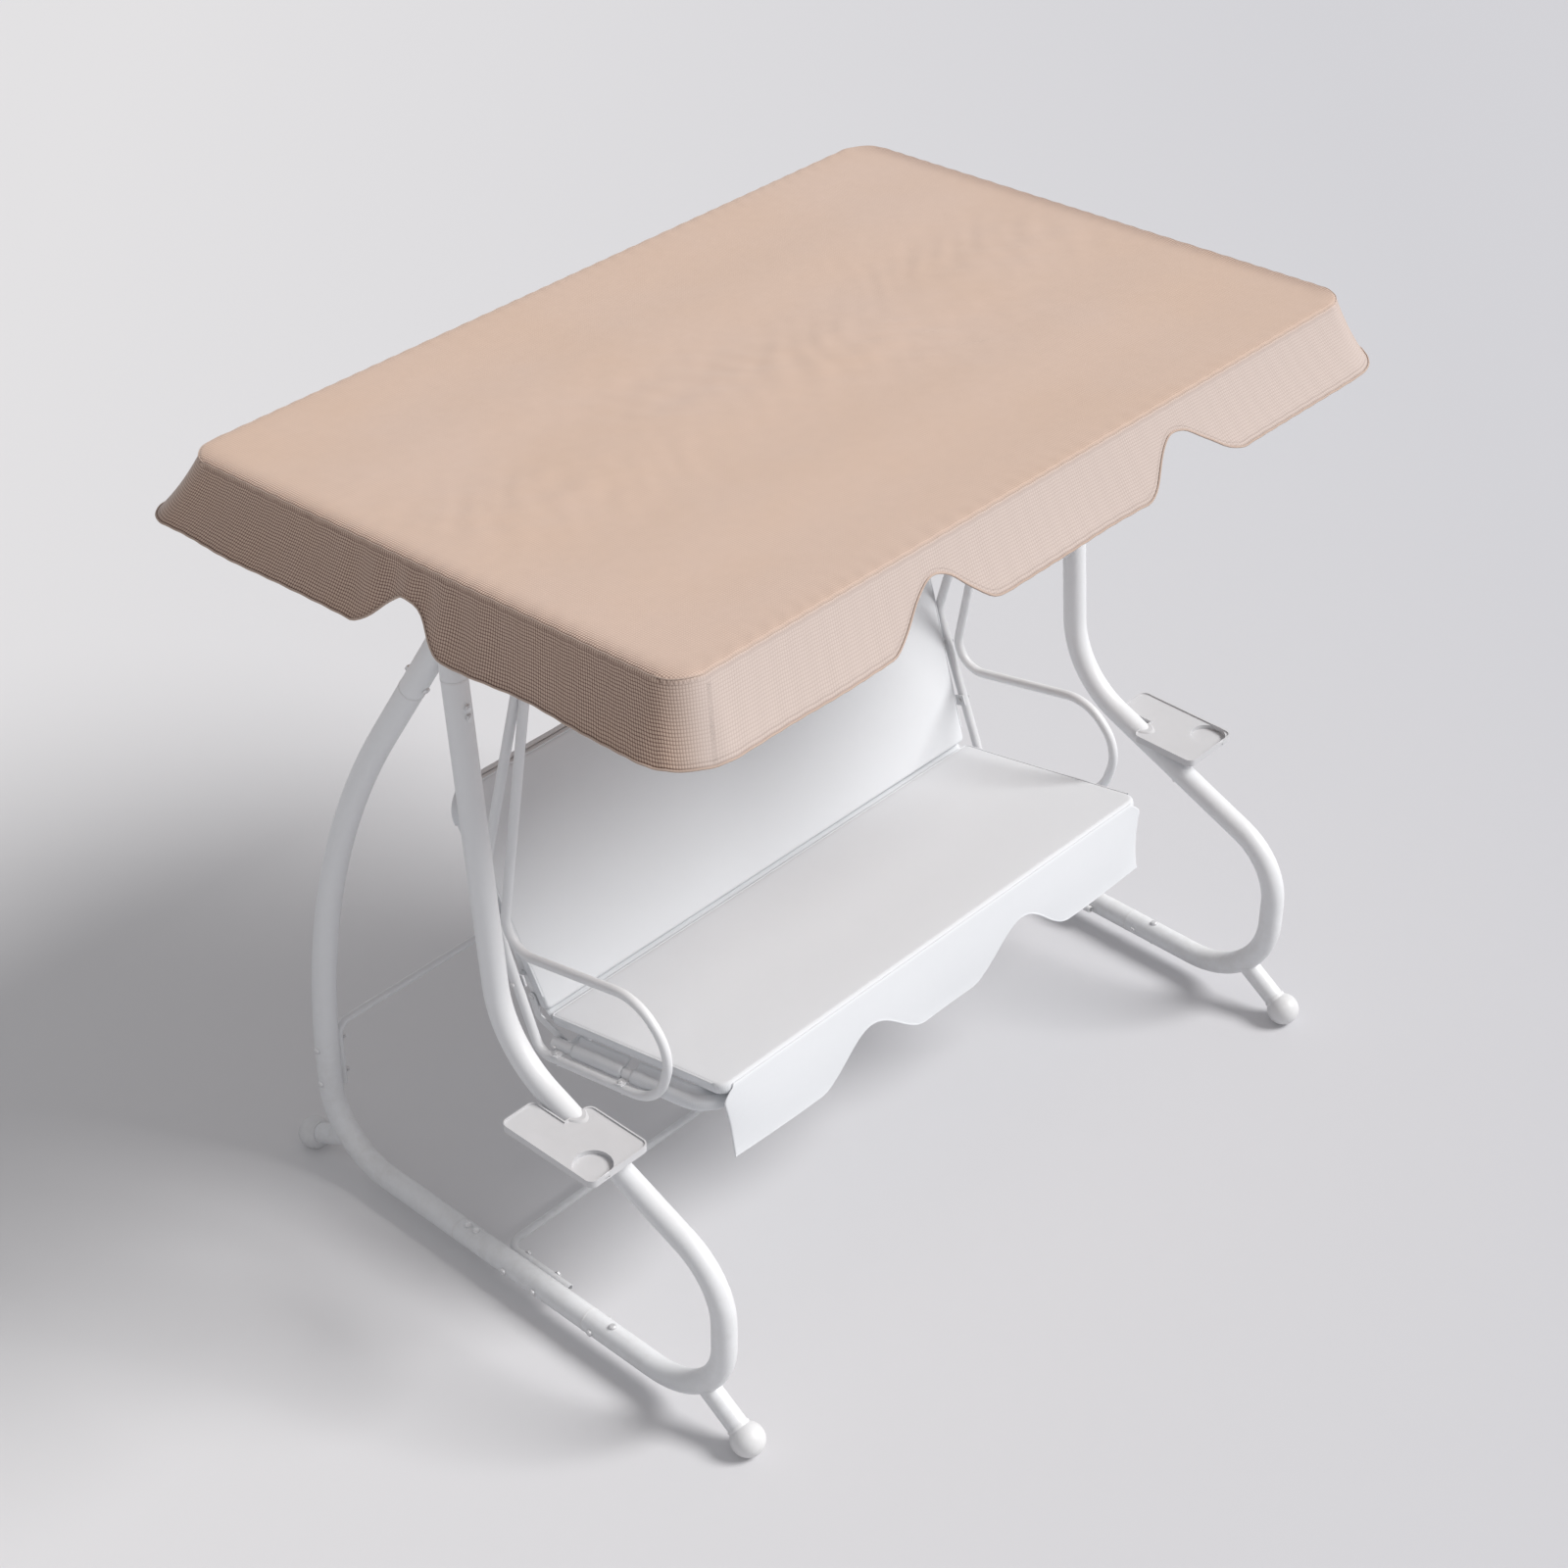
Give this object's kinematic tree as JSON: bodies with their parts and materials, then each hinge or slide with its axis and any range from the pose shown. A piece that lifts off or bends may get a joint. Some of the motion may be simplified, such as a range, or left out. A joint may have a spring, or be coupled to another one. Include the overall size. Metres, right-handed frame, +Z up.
{
  "type": "garden swing seat",
  "caption": "Free-standing garden swing bench with a tubular steel stand, hung seat and back, tilting fabric canopy and drink trays.",
  "frame": {"origin": "on the ground under the middle of the whole object", "axes": "+X along the bench to the sitter's left, -Y the front that the sitters face, +Z up"},
  "size_m": [1.95, 1.4401, 1.7346],
  "materials": {
    "frame_steel": "satin white powder coat",
    "plated_steel": "zinc plated",
    "tray_plastic": "smooth white moulding",
    "foot_plastic": "white moulding",
    "knob_plastic": "dark grey moulding",
    "seat_fabric": "smooth white woven sling",
    "canopy_fabric": "beige basket-weave polyester"
  },
  "bodies": {
    "stand": {"top_joint_left": "frame_steel", "top_joint_right": "frame_steel", "front_tube_left": "frame_steel", "front_tube_right": "frame_steel", "rear_leg_left": "frame_steel", "rear_leg_right": "frame_steel", "base_tube_left": "frame_steel", "base_tube_right": "frame_steel", "joint_rings": "foot_plastic", "ball_feet": "foot_plastic", "rear_cross_bar": "frame_steel", "front_cross_bar": "frame_steel", "top_beam": "frame_steel", "frame_bolts": "plated_steel", "cross_bar_bolts": "plated_steel", "hinge_brackets": "frame_steel", "hinge_bolts": "plated_steel", "cup_tray_left": "tray_plastic", "cup_tray_right": "tray_plastic", "tray_screws": "plated_steel", "canopy_post_left": "frame_steel", "canopy_post_right": "frame_steel", "tilt_bolts": "plated_steel"},
    "seat": {"hanger_loop_left": "frame_steel", "hanger_loop_right": "frame_steel", "hanger_fitting_left": "frame_steel", "hanger_fitting_right": "frame_steel", "seat_hoop": "frame_steel", "seat_rear_rail": "frame_steel", "seat_stretchers": "frame_steel", "seat_tabs": "frame_steel", "loop_bolts": "plated_steel", "back_hoop": "frame_steel", "back_lower_rail": "frame_steel", "back_brackets": "frame_steel", "back_bolts": "plated_steel", "corner_plates": "frame_steel", "corner_bolts": "plated_steel", "seat_sling": "seat_fabric", "seat_sleeves": "seat_fabric", "back_sling": "seat_fabric", "seat_valance": "seat_fabric"},
    "roof": {"canopy_front_bow": "frame_steel", "canopy_rear_bow": "frame_steel", "canopy_ridge_bar": "frame_steel", "canopy_pivot_plates": "frame_steel", "canopy_fabric": "canopy_fabric"},
    "knob_left": {"tilt_knob_left": "knob_plastic"},
    "knob_right": {"tilt_knob_right": "knob_plastic"}
  },
  "joints": [
    {"name": "seat_swing", "type": "hinge", "parent": "stand", "child": "seat", "pos_m": [0, 0.002, 1.488], "axis": [1, 0, 0], "range_deg": [-25, 25]},
    {"name": "roof_tilt", "type": "hinge", "parent": "stand", "child": "roof", "pos_m": [0, 0.013, 1.674], "axis": [1, 0, 0], "range_deg": [-15, 15]},
    {"name": "knob_left_turn", "type": "hinge", "parent": "stand", "child": "knob_left", "pos_m": [-0.837, 0.013, 1.674], "axis": [1, 0, 0], "range_deg": [0, 360]},
    {"name": "knob_right_turn", "type": "hinge", "parent": "stand", "child": "knob_right", "pos_m": [0.837, 0.013, 1.674], "axis": [-1, 0, 0], "range_deg": [0, 360]}
  ]
}
